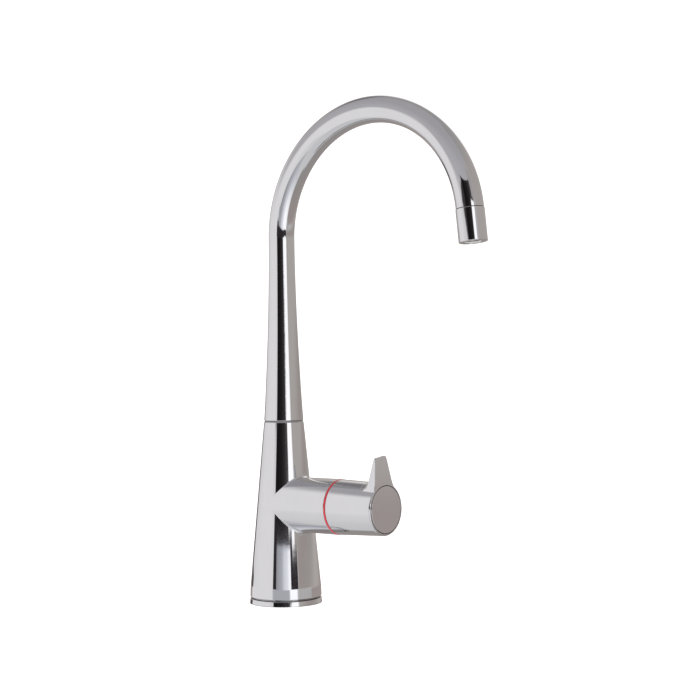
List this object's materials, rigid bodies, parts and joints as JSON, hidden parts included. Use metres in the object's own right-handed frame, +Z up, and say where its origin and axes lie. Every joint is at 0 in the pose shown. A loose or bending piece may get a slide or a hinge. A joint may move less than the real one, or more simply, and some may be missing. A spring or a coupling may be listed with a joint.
{
  "type": "boiling water tap",
  "caption": "Tall boiling water tap with a conical body, a lever-handled valve arm to the front and a swan-neck spout that swivels, in polished chrome with a red heat ring.",
  "frame": {"origin": "centre of the base, on the worktop", "axes": "+Z up the body, -Y to the front along the valve arm and the spout, +X to the right seen from the front"},
  "size_m": [0.0502, 0.1961, 0.3408],
  "materials": {
    "chrome": "bright chrome plate on brass",
    "brass": "turned brass",
    "steel": "plain stainless steel",
    "rubber": "matt black rubber",
    "ceramic": "polished alumina",
    "white_plastic": "satin acetal",
    "grey_plastic": "satin acetal",
    "red_plastic": "gloss red",
    "silicone": "milky silicone"
  },
  "bodies": {
    "body": {"base_ring": "chrome", "base_gasket": "rubber", "tap_body": "chrome", "inlet_connector": "brass", "inlet_washer": "rubber", "swivel_post": "brass", "post_washer": "rubber", "lower_bearing_ring": "grey_plastic", "lower_swivel_o_ring": "rubber", "upper_swivel_o_ring": "rubber", "upper_bearing_ring": "white_plastic", "seat_seal": "rubber", "cartridge_housing": "brass", "cartridge_o_ring": "rubber", "fixed_ceramic_disc": "ceramic", "spindle_o_ring": "rubber", "gland_nut": "brass", "heat_indicator_ring": "red_plastic"},
    "handle": {"lever_handle": "chrome", "end_cap": "chrome", "cap_o_ring": "rubber", "handle_screw": "steel", "spline_adapter": "white_plastic", "spindle_clip": "steel", "valve_spindle": "brass", "moving_ceramic_disc": "ceramic"},
    "spout": {"spout_neck": "chrome", "spout_foot_bush": "brass", "swivel_stop_screw": "steel", "inner_hose": "silicone", "lower_hose_clip": "steel", "upper_hose_clip": "steel", "outlet_fitting": "brass", "nozzle_o_ring": "rubber", "nozzle_sleeve": "chrome", "flow_straightener": "white_plastic", "nozzle_washer": "rubber"}
  },
  "joints": [
    {"name": "spout_swivel", "type": "hinge", "parent": "body", "child": "spout", "pos_m": [0, 0, 0.125], "axis": [0, 0, 1], "range_deg": [-90, 90]},
    {"name": "handle_turn", "type": "hinge", "parent": "body", "child": "handle", "pos_m": [0, 0, 0.0681], "axis": [0, -1, 0], "range_deg": [0, 90]}
  ]
}
